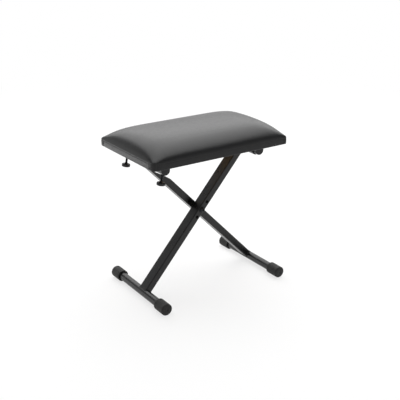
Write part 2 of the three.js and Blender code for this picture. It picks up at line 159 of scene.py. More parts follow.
def soft_lamp(name, at, towards, size, power):
    lamp_data = bpy.data.lights.new(name, "AREA")
    lamp_data.shape = "RECTANGLE"
    lamp_data.size, lamp_data.size_y = size
    lamp_data.energy = power
    lamp = bpy.data.objects.new(name, lamp_data)
    lamp.location = at
    lamp.rotation_euler = (Vector(towards) - Vector(at)).to_track_quat("-Z", "Y").to_euler()
    lamp.visible_camera = False
    bpy.context.scene.collection.objects.link(lamp)


seat_top = (0, 0, 0.42)
soft_lamp("overhead_softbox", (0.61, 1.05, 2.25), seat_top, (3.9, 3.6), 105)
soft_lamp("ceiling_softbox", (0.55, 0.05, 2.62), seat_top, (3.0, 2.0), 20)
soft_lamp("left_softbox", (-0.63, 0.85, 0.07), (-0.2, 0, 0.39), (1.0, 0.13), 0.85)


# Seat cushion.
# Foam on a board under black upholstery vinyl. The cover is pulled down over the foam and
# tucked in below a ledge at each corner, where it is gathered in small upright pleats.
seat_low, seat_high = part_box("seat_cushion")
board_low, board_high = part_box("seat_board")
seat_middle_x = (seat_low[0] + seat_high[0]) / 2
half_x = (seat_high[0] - seat_low[0]) / 2
half_y = (seat_high[1] - seat_low[1]) / 2
seat_under = seat_low[2]
sharp_corner_radius = 0.0030
near_corner_radius = 0.012
crown_start = 0.0215
crown_rise = 0.0356
left_shoulder = 0.020
right_shoulder = 0.0165
shoulder_y = 0.028
board_edge_height = 0.0150
edge_roundness = 0.0016
near_corner_drop = 0.0048
near_corner_rise = 0.0028
near_corner_reach = 0.012
pocket_gap = 0.0003
pocket_corner = 0.0063
pocket_x = (board_high[0] - board_low[0]) / 2 + pocket_gap
pocket_y = (board_high[1] - board_low[1]) / 2 + pocket_gap
pocket_top = board_high[2] + pocket_gap
wall_rings = [(0.0010, -0.0008), (0.0002, 0.001), (0.0, 0.0035), (0.0, 0.0065), (0.0, 0.0095),
              (0.0001, 0.0125)]
flange_rings = [0.0015, 0.0037]
flange_height = -0.0008
edge_insets = [0.0, 0.0007, 0.0016, 0.0028, 0.0044, 0.0066, 0.0092]
fine_zone = 0.045
fine_step = 0.003
coarse_step = 0.0095


def grid_lines(half):
    """Places of grid lines from -half to half, closest together at both ends."""
    insets = list(edge_insets)
    while insets[-1] < fine_zone:
        insets.append(insets[-1] + fine_step)
    inner = half - insets[-1]
    steps = round(2 * inner / coarse_step)
    middle = [2 * inner * step / steps - inner for step in range(1, steps)]
    return [inset - half for inset in insets] + middle + [half - inset for inset in reversed(insets)]


def rounded(x, y, half_length, half_width, radius):
    """Moves a point of a square-cornered plan onto a plan with round corners."""
    over_x = abs(x) - (half_length - radius)
    over_y = abs(y) - (half_width - radius)
    if min(over_x, over_y) <= 0:
        return x, y
    spread = max(over_x, over_y)
    angle = math.atan2(over_y, over_x)
    near_x = half_length - radius + spread * math.cos(angle)
    near_y = half_width - radius + spread * math.sin(angle)
    return math.copysign(near_x, x), math.copysign(near_y, y)


def past_corner(x, y):
    """The radius of the cushion's nearest corner, and how far past its centre a point is each way.

    The near left corner is rounder than the other three.
    """
    radius = near_corner_radius if x < 0 and y < 0 else sharp_corner_radius
    return radius, abs(x) - (half_x - radius), abs(y) - (half_y - radius)


def outward(x, y):
    """The level direction out of the cushion's wall at a point of its plan."""
    _, over_x, over_y = past_corner(x, y)
    if over_x > 0 and over_y > 0:
        return Vector((math.copysign(over_x, x), math.copysign(over_y, y))).normalized()
    if abs(x) - half_x > abs(y) - half_y:
        return Vector((math.copysign(1, x), 0))
    return Vector((0, math.copysign(1, y)))


def wall_inset(x, y):
    """How far inside the cushion's wall a point of its plan is."""
    radius, over_x, over_y = past_corner(x, y)
    if over_x > 0 and over_y > 0:
        return radius - math.hypot(over_x, over_y)
    return radius - max(over_x, over_y)


def crown(x, y):
    """Height of the foam over the cushion's underside, rounded over where the board's edge ends."""
    rise_x = 1 - math.exp((abs(x) - half_x) / (left_shoulder if x < 0 else right_shoulder))
    rise_y = 1 - math.exp((abs(y) - half_y) / shoulder_y)
    foam = crown_start + crown_rise * rise_x * rise_y
    near_corner = math.exp(-math.hypot(x + half_x, y + half_y) / near_corner_reach)
    foam -= near_corner_drop * near_corner
    edge = board_edge_height + near_corner_rise * near_corner
    return edge + (foam - edge) * (1 - math.exp(-wall_inset(x, y) / edge_roundness))


def rim_order(columns, rows):
    """Grid places round the rim of a grid, counter-clockwise from above."""
    front = [(i, 0) for i in range(columns - 1)]
    right = [(columns - 1, j) for j in range(rows - 1)]
    back = [(i, rows - 1) for i in range(columns - 1, 0, -1)]
    left = [(0, j) for j in range(rows - 1, 0, -1)]
    return front + right + back + left


lines_x = grid_lines(half_x)
lines_y = grid_lines(half_y)
columns, rows = len(lines_x), len(lines_y)
points = []
for x in lines_x:
    for y in lines_y:
        near_x, near_y = rounded(x, y, half_x, half_y, past_corner(x, y)[0])
        points.append((near_x + seat_middle_x, near_y, seat_under + crown(near_x, near_y)))
faces = [(i * rows + j, (i + 1) * rows + j, (i + 1) * rows + j + 1, i * rows + j + 1)
         for i in range(columns - 1) for j in range(rows - 1)]
rim = [i * rows + j for i, j in rim_order(columns, rows)]
ring_above = rim
for inset, height in wall_rings[::-1] + [(inset, flange_height) for inset in flange_rings]:
    ring = []
    for index in rim:
        x, y, _ = points[index]
        direction = outward(x - seat_middle_x, y)
        ring.append(len(points))
        points.append((x - inset * direction.x, y - inset * direction.y, seat_under + height))
    faces += [(ring_above[k], ring_above[k - 1], ring[k - 1], ring[k]) for k in range(len(rim))]
    ring_above = ring
cushion = new_object("cushion_draft", points, faces)
held_inset = 0.004
held = [v.index for v in cushion.data.vertices if wall_inset(v.co.x - seat_middle_x, v.co.y) < held_inset]

air_frames = 20
longest_travel = 0.0012
smoothing_rounds = 8


def blown_up(draft, held_points, most):
    """Lets air into the cover for a moment, so that it pulls taut over the foam.

    The foam evens out the travel of the cover, which goes no further than the given distance.
    """
    before = [v.co.copy() for v in draft.data.vertices]
    group = draft.vertex_groups.new(name="held")
    group.add(held_points, 1.0, "REPLACE")
    cloth = draft.modifiers.new("cover", "CLOTH")
    cloth.settings.quality = 6
    cloth.settings.mass = 0.4
    cloth.settings.tension_stiffness = 20
    cloth.settings.compression_stiffness = 20
    cloth.settings.shear_stiffness = 10
    cloth.settings.bending_stiffness = 2.0
    cloth.settings.vertex_group_mass = "held"
    cloth.settings.use_pressure = True
    cloth.settings.uniform_pressure_force = 4.0
    cloth.settings.effector_weights.gravity = 0
    cloth.collision_settings.use_collision = False
    cloth.point_cache.frame_start = 1
    cloth.point_cache.frame_end = air_frames
    for step in range(1, air_frames + 1):
        bpy.context.scene.frame_set(step)
    evaluated = draft.evaluated_get(bpy.context.evaluated_depsgraph_get())
    after = [v.co.copy() for v in evaluated.to_mesh().vertices]
    evaluated.to_mesh_clear()
    draft.modifiers.remove(cloth)
    bpy.context.scene.frame_set(1)
    travels = [end - start for start, end in zip(before, after)]
    neighbours = [[] for _ in before]
    for edge in draft.data.edges:
        first, second = edge.vertices
        neighbours[first].append(second)
        neighbours[second].append(first)
    for _ in range(smoothing_rounds):
        travels = [(travel + sum((travels[other] for other in beside), Vector()) / len(beside)) / 2
                   for travel, beside in zip(travels, neighbours)]
    longest = max(travel.length for travel in travels)
    for vertex, start, travel in zip(draft.data.vertices, before, travels):
        vertex.co = start + travel * min(1.0, most / longest)
    draft.data.update()


def applied(draft, name):
    """A plain mesh object with the draft's modifiers in it; the draft is removed."""
    shape = bpy.data.meshes.new_from_object(draft.evaluated_get(bpy.context.evaluated_depsgraph_get()))
    shape.name = name
    made = bpy.data.objects.new(name, shape)
    bpy.context.scene.collection.objects.link(made)
    bpy.data.objects.remove(draft)
    return made


blown_up(cushion, held, longest_travel)
rounder = cushion.modifiers.new("rounder", "SUBSURF")
rounder.levels = rounder.render_levels = 2
cushion = applied(cushion, "seat_cushion_cover")

# Below a ledge the cover is drawn in at its corners, where it is gathered in upright pleats.
ledge_height = 0.0150
near_ledge_rise = 0.0022
crease_depth = 0.0006
crease_width = 0.0010
sculpted_height = 0.024
flange_width = flange_rings[-1]
tuck_fade = 0.0020
# One depth for each corner: near left, near right, far left and far right.
tuck_depths = [0.0010, 0.0003, 0.0003, 0.0003]
pleat_depths = [0.0009, 0.0006, 0.0006, 0.0006]
pleat_places = [-0.0165, -0.0105, -0.0045, 0.0025, 0.0085, 0.0145]
pleat_width = 0.0019
pleat_slant = 0.10
pleat_middle_height = 0.008
pleat_reach = 0.017
pleat_fade = 0.008
pleat_scatter = 0.0011
corner_phase = 7.3
pleat_phase = 2.1
far_side_share = -0.45
widths_felt = 3


def along_wall(x, y):
    """Distance along the wall from the middle of the nearest corner."""
    radius, over_x, over_y = past_corner(x, y)
    quarter = radius * math.pi / 4
    if over_x > 0 and over_y > 0:
        return radius * math.atan2(over_y, over_x) - quarter
    if over_x > over_y:
        return over_y - quarter
    return quarter - over_x


def step_down(value, width):
    """1 well below 0, 0 well above it, with a smooth step of that width between them."""
    share = min(max(0.5 - value / width, 0), 1)
    return share * share * (3 - 2 * share)


for vertex in cushion.data.vertices:
    x, y = vertex.co.x - seat_middle_x, vertex.co.y
    height = vertex.co.z - seat_under
    inset = wall_inset(x, y)
    if height > sculpted_height or inset > flange_width:
        continue
    distance = along_wall(x, y)
    direction = outward(x, y)
    corner = (0 if x < 0 else 1) + (0 if y < 0 else 2)
    window = step_down(abs(distance) - pleat_reach, pleat_fade)
    ledge = ledge_height + (near_ledge_rise * window if corner == 0 else 0)
    below = step_down(height - ledge, tuck_fade) * window
    shift = crease_depth * math.exp(-((height - ledge) / crease_width) ** 2) + tuck_depths[corner] * below
    for number, pleat in enumerate(pleat_places):
        scatter = pleat_scatter * math.sin(corner_phase * corner + pleat_phase * number)
        middle = pleat + scatter + pleat_slant * (height - pleat_middle_height)
        offset = distance - middle
        if abs(offset) < widths_felt * pleat_width:
            side = 1 if offset < 0 else far_side_share
            shift += pleat_depths[corner] * math.exp(-(offset / pleat_width) ** 2) * side * below
    shift *= min(1 - inset / flange_width, 1)
    vertex.co.x -= direction.x * shift
    vertex.co.y -= direction.y * shift
cushion.data.update()

# The pocket that holds the board, cut up into the foam from below.
body = bmesh.new()
body.from_mesh(cushion.data)
open_edges = [edge for edge in body.edges if edge.is_boundary]
for vertex in {vertex for edge in open_edges for vertex in edge.verts}:
    fit_x, fit_y = rounded(vertex.co.x - seat_middle_x, vertex.co.y, pocket_x, pocket_y, pocket_corner)
    vertex.co.x = min(max(fit_x, -pocket_x), pocket_x) + seat_middle_x
    vertex.co.y = min(max(fit_y, -pocket_y), pocket_y)
    vertex.co.z = seat_under
for item in bmesh.ops.extrude_edge_only(body, edges=open_edges)["geom"]:
    if isinstance(item, bmesh.types.BMVert):
        item.co.z = pocket_top
bmesh.ops.contextual_create(body, geom=[edge for edge in body.edges if edge.is_boundary])
bmesh.ops.recalc_face_normals(body, faces=body.faces)
body.to_mesh(cushion.data)
body.free()
for polygon in cushion.data.polygons:
    polygon.use_smooth = polygon.loop_total == 4

# Upholstery vinyl: calendered PVC with a fine pebble grain, which gives a dull satin top
# that is brighter at flat angles. The 1 mm grain is drawn 2 mm wide, so that it shows.
pebble_width = 0.002
crinkle_width = 0.006
mottle_width = 0.03
vinyl, tree = new_material("black_upholstery_vinyl")
place = add_node(tree, "ShaderNodeTexCoord")
grain = add_node(tree, "ShaderNodeTexVoronoi", {
    "Vector": place.outputs["Object"], "Scale": 1 / pebble_width, "Randomness": 0.9,
}, feature="SMOOTH_F1")
creases = add_node(tree, "ShaderNodeTexNoise", {
    "Vector": place.outputs["Object"], "Scale": 1 / crinkle_width, "Detail": 4.0, "Roughness": 0.6,
})
mottle = add_node(tree, "ShaderNodeTexNoise", {
    "Vector": place.outputs["Object"], "Scale": 1 / mottle_width, "Detail": 3.0, "Roughness": 0.55,
})
colour = add_node(tree, "ShaderNodeMix", {
    0: mottle, 6: linear("#0e0e0f"), 7: linear("#161617"),
}, data_type="RGBA")
dullness = add_node(tree, "ShaderNodeMapRange", {
    "Value": creases, "From Min": 0.3, "From Max": 0.7, "To Min": 0.31, "To Max": 0.38,
})
fine_bump = add_node(tree, "ShaderNodeBump", {
    "Strength": 0.22, "Distance": 0.0004, "Height": grain,
})
wide_bump = add_node(tree, "ShaderNodeBump", {
    "Strength": 0.18, "Distance": 0.0006, "Height": creases, "Normal": fine_bump,
})
shader = add_node(tree, "ShaderNodeBsdfPrincipled", {
    "Base Color": colour, "Roughness": dullness, "IOR": 1.5,
    "Specular IOR Level": 0.30, "Normal": wide_bump,
})
add_node(tree, "ShaderNodeOutputMaterial", {"Surface": shader})
cushion.data.materials.clear()
cushion.data.materials.append(vinyl)
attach(cushion, "seat")
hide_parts("seat_cushion")


# Edge of the cover.
# The vinyl is turned under the board in a strip about 24 mm wide, cut by hand, folded double
# at the corners and fastened with staples.
hem_low, hem_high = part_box("cover_hem")
hem_x = (hem_high[0] - hem_low[0]) / 2
hem_y = (hem_high[1] - hem_low[1]) / 2
hem_width = 0.0235
hem_thickness = 0.0009
hem_corner = 0.006
cut_margin = 0.0012
cut_wander = 0.0016
cut_waves = (9, 6)
cut_layer = 1.7
pucker_height = 0.0005
pucker_waves = 60
pucker_layer = 4.2
fold_thickness = 0.0008
fold_reach = 0.013
fold_fade = 0.003
fold_end_gap = 0.0005
fold_end_fade = 0.002
hem_shares = [0.0, 0.04, 0.2, 0.4, 0.6, 0.8, 0.96, 1.0]
hem_rim = [(lines_x[i] / half_x, lines_y[j] / half_y) for i, j in rim_order(columns, rows)]


def hem_ring(share, depth):
    """One line of points along the turned edge, at that share of its width from the fold."""
    ring = []
    for along_x, along_y in hem_rim:
        wave = noise.noise(Vector((along_x * cut_waves[0], along_y * cut_waves[1], cut_layer)))
        inset = share * (hem_width - cut_margin + cut_wander * wave)
        wide, deep = hem_x - inset, hem_y - inset
        x, y = rounded(along_x * wide, along_y * deep, wide, deep, hem_corner)
        wave = noise.noise(Vector((x * pucker_waves, y * pucker_waves, pucker_layer)))
        pucker = pucker_height * share * wave
        off_mitre = abs((hem_x - abs(x)) - (hem_y - abs(y)))
        doubled = fold_thickness * step_down(off_mitre - fold_reach, fold_fade)
        doubled *= step_down(abs(x) - hem_x + fold_end_gap, fold_end_fade)
        flat = 0.0 if depth == 0 else max(0.0, pucker) + doubled
        ring.append((x + seat_middle_x, y, hem_high[2] - depth - flat))
    return ring


def smoothed(piece, bend):
    """Shades a piece smooth, except at edges that bend more than that many degrees."""
    for polygon in piece.data.polygons:
        polygon.use_smooth = True
    piece.data.set_sharp_from_angle(angle=math.radians(bend))


points, faces = [], []
outline = [(share, hem_thickness) for share in hem_shares]
outline += [(share, 0.0) for share in reversed(hem_shares)]
count = len(hem_rim)
for number, (share, depth) in enumerate(outline):
    points += hem_ring(share, depth)
    start, above = number * count, (number + 1) % len(outline) * count
    faces += [(start + k, above + k, above + (k + 1) % count, start + (k + 1) % count)
              for k in range(count)]
hem = new_object("turned_cover_edge", points, faces)
smoothed(hem, 50)
hem.data.materials.append(vinyl)
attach(hem, "seat")
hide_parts("cover_hem")


# Staples.
# Flat-crowned staples of zinc-coated wire, driven up through the turned edge into the board
# every few centimetres, a little off square as they come out of a hand tool.
staple_inset = 0.014
staple_corner = 0.02
staple_gap = 0.0003
staple_x, staple_y = hem_x - staple_inset, hem_y - staple_inset
staple_ring = []
for along_x, along_y in hem_rim:
    x, y = rounded(along_x * staple_x, along_y * staple_y, staple_x, staple_y, staple_corner)
    staple_ring.append((x + seat_middle_x, y, hem_low[2] - staple_gap))
staples = new_object("staple_line", staple_ring, [], [(k, (k + 1) % count) for k in range(count)])


def new_tree(name, sizes):
    """A Geometry Nodes tree with a geometry input, named inputs and a geometry output."""
    tree = bpy.data.node_groups.new(name, "GeometryNodeTree")
    tree.interface.new_socket("Geometry", in_out="INPUT", socket_type="NodeSocketGeometry")
    for label, kind in sizes.items():
        tree.interface.new_socket(label, in_out="INPUT", socket_type="NodeSocket" + kind)
    tree.interface.new_socket("Geometry", in_out="OUTPUT", socket_type="NodeSocketGeometry")
    return tree, add_node(tree, "NodeGroupInput")


def grown(draft, name, tree, values):
    """Runs a tree on a draft with these input values and keeps the result as a plain mesh."""
    modifier = draft.modifiers.new(name, "NODES")
    modifier.node_group = tree
    for item in tree.interface.items_tree:
        if item.item_type == "SOCKET" and item.in_out == "INPUT" and item.name in values:
            modifier[item.identifier] = values[item.name]
    return applied(draft, name)


def spots_along(tree, given, spacing, **alignment):
    """Points along the given line at the spacing of that input, and the turn that follows the line."""
    line = add_node(tree, "GeometryNodeMeshToCurve", {"Mesh": given.outputs["Geometry"]})
    spots = add_node(tree, "GeometryNodeResampleCurve", {
        "Curve": line, "Length": given.outputs[spacing],
    }, mode="LENGTH")
    heading = add_node(tree, "GeometryNodeInputTangent")
    turn = add_node(tree, "FunctionNodeAlignRotationToVector", {"Vector": heading}, axis="X", **alignment)
    return spots, turn


def end_tree(tree, given, instances, smooth=False):
    """Makes the instances real geometry in the given material, and puts it out."""
    solid = add_node(tree, "GeometryNodeRealizeInstances", {"Geometry": instances})
    if smooth:
        solid = add_node(tree, "GeometryNodeSetShadeSmooth", {"Geometry": solid})
    coated = add_node(tree, "GeometryNodeSetMaterial", {
        "Geometry": solid, "Material": given.outputs["Material"],
    })
    add_node(tree, "NodeGroupOutput", {"Geometry": coated})


tree, given = new_tree("staple_rows", {
    "Spacing": "Float", "Crown": "Float", "Leg": "Float", "Wire": "Float", "Seed": "Int",
    "Material": "Material",
})
spots, turn = spots_along(tree, given, "Spacing", pivot_axis="Z")
askew = add_node(tree, "FunctionNodeRandomValue", {
    2: -0.12, 3: 0.12, "Seed": given.outputs["Seed"],
}, data_type="FLOAT")
askew_turn = add_node(tree, "ShaderNodeCombineXYZ", {"Z": askew})
wires = add_node(tree, "GeometryNodeJoinGeometry")
ends = []
for side in (0.5, -0.5):
    across = add_node(tree, "ShaderNodeMath", {0: given.outputs["Crown"], 1: side}, operation="MULTIPLY")
    end = add_node(tree, "ShaderNodeCombineXYZ", {"X": across})
    tip = add_node(tree, "ShaderNodeCombineXYZ", {"X": across, "Z": given.outputs["Leg"]})
    ends.append((end, tip))
(right_end, right_tip), (left_end, left_tip) = ends
for start, end in ((left_end, right_end), (left_end, left_tip), (right_end, right_tip)):
    wire = add_node(tree, "GeometryNodeCurvePrimitiveLine", {"Start": start, "End": end})
    tree.links.new(wire.outputs["Curve"], wires.inputs["Geometry"])
section = add_node(tree, "GeometryNodeCurvePrimitiveCircle", {
    "Resolution": 8, "Radius": given.outputs["Wire"],
})
staple = add_node(tree, "GeometryNodeCurveToMesh", {
    "Curve": wires, "Profile Curve": section, "Fill Caps": True,
})
laid = add_node(tree, "GeometryNodeInstanceOnPoints", {
    "Points": spots, "Instance": staple, "Rotation": turn,
})
skewed = add_node(tree, "GeometryNodeRotateInstances", {"Instances": laid, "Rotation": askew_turn})
end_tree(tree, given, skewed)


def mottled(name, hues, patches, dullness, surface, grit=None, bump=None):
    """A finish whose colour and dullness drift in soft patches, with a fine skin where grit is given."""
    material, tree = new_material(name)
    place = add_node(tree, "ShaderNodeTexCoord").outputs["Object"]
    patch = add_node(tree, "ShaderNodeTexNoise", {"Vector": place, **patches})
    colour = add_node(tree, "ShaderNodeMix", {
        0: patch, 6: linear(hues[0]), 7: linear(hues[1]),
    }, data_type="RGBA")
    rough = add_node(tree, "ShaderNodeMapRange", {"Value": patch, **dullness})
    inputs = {"Base Color": colour, "Roughness": rough, **surface}
    if grit:
        grains = add_node(tree, "ShaderNodeTexNoise", {"Vector": place, **grit})
        inputs["Normal"] = add_node(tree, "ShaderNodeBump", {"Height": grains, **bump})
    shader = add_node(tree, "ShaderNodeBsdfPrincipled", inputs)
    add_node(tree, "ShaderNodeOutputMaterial", {"Surface": shader})
    return material


# Staple wire: drawn steel wire with a bright zinc coat, which gives a cool grey glint.
wire_zinc = mottled(
    "zinc_coated_wire", ("#8f9194", "#b4b6b8"), {"Scale": 1 / 0.0015},
    {"To Min": 0.25, "To Max": 0.42}, {"Metallic": 1.0},
)
staples = grown(staples, "cover_staples", tree, {"Spacing": 0.026, "Crown": 0.010, "Leg": 0.0009,
                                                 "Wire": 0.00035, "Seed": 4, "Material": wire_zinc})
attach(staples, "seat")


# Seat board.
# 12 mm plywood of thin birch plies, bare on its underside, with pilot holes for the screws and
# round pockets for the saddles' bosses.
ply_line = 0.00296088
figure_width = 0.05
pore_width = 0.006

# Birch plywood: pale rotary-cut face veneer with long soft figure along the seat. In the holes' walls
# the plies are drawn as lines 3 mm thick, twice the real ones, in bands of 20 radians a unit.
birch, tree = new_material("bare_birch_plywood")
place = add_node(tree, "ShaderNodeTexCoord")
long_grain = add_node(tree, "ShaderNodeMapping", {
    "Vector": place.outputs["Object"], "Scale": (1.0, 9.0, 9.0),
})
figure = add_node(tree, "ShaderNodeTexNoise", {
    "Vector": long_grain, "Scale": 1 / figure_width, "Detail": 5.0, "Roughness": 0.6, "Distortion": 0.4,
})
pores = add_node(tree, "ShaderNodeTexNoise", {
    "Vector": long_grain, "Scale": 1 / pore_width, "Detail": 2.0,
})
plies = add_node(tree, "ShaderNodeTexWave", {
    "Vector": place.outputs["Object"], "Scale": math.pi / (20 * ply_line),
}, bands_direction="Z")
veneer = add_node(tree, "ShaderNodeMix", {
    0: figure, 6: linear("#b08a5c"), 7: linear("#d2b184"),
}, data_type="RGBA")
porous = add_node(tree, "ShaderNodeMix", {
    0: 0.25, 6: veneer, 7: pores.outputs["Color"],
}, data_type="RGBA", blend_type="SOFT_LIGHT")
layered = add_node(tree, "ShaderNodeMix", {
    0: 0.3, 6: porous, 7: plies.outputs["Color"],
}, data_type="RGBA", blend_type="MULTIPLY")
face_on = add_node(tree, "ShaderNodeNewGeometry")
facing = add_node(tree, "ShaderNodeSeparateXYZ", {"Vector": face_on.outputs["True Normal"]})
level_face = add_node(tree, "ShaderNodeMath", {0: facing.outputs["Z"]}, operation="ABSOLUTE")
wood = add_node(tree, "ShaderNodeMix", {0: level_face, 6: layered, 7: porous}, data_type="RGBA")
rough_wood = add_node(tree, "ShaderNodeBump", {"Strength": 0.3, "Distance": 0.0003, "Height": pores})
shader = add_node(tree, "ShaderNodeBsdfPrincipled", {
    "Base Color": wood, "Roughness": 0.75, "Normal": rough_wood,
})
add_node(tree, "ShaderNodeOutputMaterial", {"Surface": shader})


def dressed(node, material):
    """Gives a frame node that is kept as it is its own material."""
    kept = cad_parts[node]
    kept.data.materials.clear()
    kept.data.materials.append(material)


dressed("seat_board", birch)


# Leg tubes.
# Rectangular steel tube, 32 by 19 mm, coped at both ends to fit the round cross tubes, drilled
# for three pivot places and powder coated black after welding.
merge_distance = 0.000005
flat_bend = math.radians(0.5)
sharp_bend = math.radians(38)


def refined(name, node, edge, material):
    """A copy of a frame node, its points merged, sharp edges broken and curved faces smooth."""
    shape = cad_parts[node].data.copy()
    shape.name = name
    body = bmesh.new()
    body.from_mesh(shape)
    bmesh.ops.remove_doubles(body, verts=body.verts, dist=merge_distance)
    bmesh.ops.dissolve_limit(body, angle_limit=flat_bend, verts=body.verts, edges=body.edges)
    body.to_mesh(shape)
    body.free()
    for polygon in shape.polygons:
        polygon.use_smooth = True
    draft = bpy.data.objects.new(name, shape)
    bpy.context.scene.collection.objects.link(draft)
    bevel = draft.modifiers.new("broken edges", "BEVEL")
    bevel.limit_method = "ANGLE"
    bevel.angle_limit = sharp_bend
    bevel.width = edge
    bevel.segments = 2
    weighted = draft.modifiers.new("face weights", "WEIGHTED_NORMAL")
    weighted.keep_sharp = True
    made = applied(draft, name)
    made.data.materials.clear()
    made.data.materials.append(material)
    return made


# Powder coat: baked polyester powder, a closed semi-gloss black skin with a slight orange peel that
# breaks up the reflections of the ground. The peel is drawn 2.4 mm across, so that it shows.
powder = mottled(
    "semi_gloss_black_powder_coat", ("#0d0d0e", "#151516"), {"Scale": 1 / 0.025, "Detail": 3.0},
    {"From Min": 0.3, "From Max": 0.7, "To Min": 0.26, "To Max": 0.34},
    {"IOR": 1.5, "Specular IOR Level": 0.40},
    {"Scale": 1 / 0.0024, "Detail": 2.0, "Roughness": 0.45}, {"Strength": 0.10, "Distance": 0.0003},
)

for side in ("front", "rear"):
    leg = refined(side + "_leg_box_tube", side + "_leg_tube", 0.0003, powder)
    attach(leg, side + "_leg")
    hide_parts(side + "_leg_tube")


# Weld beads.
# Each leg is welded all round to its cross tubes in overlapping puddles of weld metal about 3 mm
# wide, which the powder coat covers. The rear leg's head holds its top tube by a tongue only.
tree, given = new_tree("weld_puddles", {"Pitch": "Float", "Width": "Float", "Material": "Material"})
spots, turn = spots_along(tree, given, "Pitch")
radius = add_node(tree, "ShaderNodeMath", {0: given.outputs["Width"], 1: 0.5}, operation="MULTIPLY")
puddle = add_node(tree, "GeometryNodeMeshIcoSphere", {"Radius": radius, "Subdivisions": 2})
beads = add_node(tree, "GeometryNodeInstanceOnPoints", {
    "Points": spots, "Instance": puddle, "Rotation": turn, "Scale": (0.7, 1.0, 1.0),
})
end_tree(tree, given, beads, smooth=True)
weld_width = 0.0028
weld_pitch = 0.0011
weld_lift = 0.0002
leg_half_width = 0.016
leg_half_depth = 0.0095
leg_corner = 0.003
corner_steps = 3
outline_step = 0.002
tongue_depth = 0.0039


def middle_of(node):
    low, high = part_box(node)
    return Vector([(a + b) / 2 for a, b in zip(low, high)])


def half_height(node):
    low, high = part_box(node)
    return (high[2] - low[2]) / 2


def leg_outline(lowest):
    """Points round a leg tube's section, (across, deep), and whether they close a ring."""
    ring = []
    for turn_start, side_y, side_z in ((0, 1, 1), (1, -1, 1), (2, -1, -1), (3, 1, -1)):
        for step in range(corner_steps + 1):
            angle = (turn_start + step / corner_steps) * math.pi / 2
            ring.append((side_y * (leg_half_width - leg_corner) + leg_corner * math.cos(angle),
                         side_z * (leg_half_depth - leg_corner) + leg_corner * math.sin(angle)))
    dense = []
    for start, end in zip(ring, ring[1:] + ring[:1]):
        pieces = max(1, round(math.dist(start, end) / outline_step))
        dense += [(start[0] + (end[0] - start[0]) * step / pieces,
                   start[1] + (end[1] - start[1]) * step / pieces) for step in range(pieces)]
    if lowest is None:
        return dense, True
    upper = [(across, deep) for across, deep in dense if deep >= lowest]
    upper.sort(key=lambda spot: math.atan2(spot[1], spot[0]))
    return upper, False


def weld_path(side, end, across_y, tube_radius, lowest=None):
    """Where one leg's end meets its cross tube, as points and the edges between them."""
    axis = middle_of(f"{side}_{end}_tube")
    far = middle_of(f"{side}_{'top' if end == 'foot' else 'foot'}_tube")
    along = (far - axis).normalized()
    deep_way = Vector((along.z, 0, -along.x)) * (1 if end == "foot" else -1)
    ring, closed = leg_outline(lowest)
    spots = []
    for across, deep in ring:
        out = math.sqrt(max(tube_radius ** 2 - deep ** 2, 0)) + weld_lift
        spot = axis + along * out - deep_way * deep
        spots.append((spot.x, across_y + across, spot.z))
    edges = [(k, k + 1) for k in range(len(spots) - 1)]
    return spots, edges + ([(len(spots) - 1, 0)] if closed else [])


foot_radius = half_height("front_foot_tube")
top_radius = half_height("front_top_tube")
for side in ("front", "rear"):
    leg_low, leg_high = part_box(side + "_leg_tube")
    across_y = (leg_low[1] + leg_high[1]) / 2
    points, edges = weld_path(side, "foot", across_y, foot_radius)
    lowest = None if side == "front" else leg_half_depth - tongue_depth
    more_points, more_edges = weld_path(side, "top", across_y, top_radius, lowest)
    edges += [(a + len(points), b + len(points)) for a, b in more_edges]
    beads = new_object(side + "_weld_line", points + more_points, [], edges)
    beads = grown(beads, side + "_leg_welds", tree, {
        "Pitch": weld_pitch, "Width": weld_width, "Material": powder,
    })
    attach(beads, side + "_leg")


# Cross tubes.
# Round steel tubes, 22 mm at the feet and 24 mm under the seat, powder coated with the legs. The
# rear top tube is drilled for the knob bolts.
for side in ("front", "rear"):
    for end in ("foot", "top"):
        tube = refined(f"{side}_{end}_cross_tube", f"{side}_{end}_tube", 0.0002, powder)
        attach(tube, side + "_leg")
        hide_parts(f"{side}_{end}_tube")


# Foot caps.
# Thick rubber caps pushed over the ends of the foot tubes. They are moulded with fine ribs along
# the barrel, a plain collar at the mouth and a slightly domed end.
def turned(name, profile, count, base, axis, ripple):
    """A closed turned piece, from a profile of (distance along the axis, radius) from pole to pole."""
    axis = Vector(axis).normalized()
    side_way = axis.orthogonal().normalized()
    up_way = axis.cross(side_way)
    points, faces, rings = [], [], []
    for distance, radius in profile:
        if radius == 0:
            rings.append([len(points)])
            points.append(Vector(base) + axis * distance)
            continue
        ring = []
        for k in range(count):
            angle = 2 * math.pi * k / count
            out = radius + ripple(distance, radius, angle)
            ring.append(len(points))
            arm = side_way * math.cos(angle) + up_way * math.sin(angle)
            points.append(Vector(base) + axis * distance + arm * out)
        rings.append(ring)
    for first, second in zip(rings, rings[1:]):
        for k in range(count):
            corners = [first[k % len(first)], first[(k + 1) % len(first)],
                       second[(k + 1) % len(second)], second[k % len(second)]]
            faces.append(tuple(dict.fromkeys(corners)))
    made = new_object(name, points, faces)
    body = bmesh.new()
    body.from_mesh(made.data)
    bmesh.ops.recalc_face_normals(body, faces=body.faces)
    body.to_mesh(made.data)
    body.free()
    smoothed(made, 42)
    return made


def rounded_edge(distance, radius, edge, start, end):
    """Profile points round an edge with that centre, from one angle to another."""
    steps = 4
    angles = [math.radians(start + (end - start) * step / steps) for step in range(steps + 1)]
    return [(distance + edge * math.sin(angle), radius + edge * math.cos(angle)) for angle in angles]


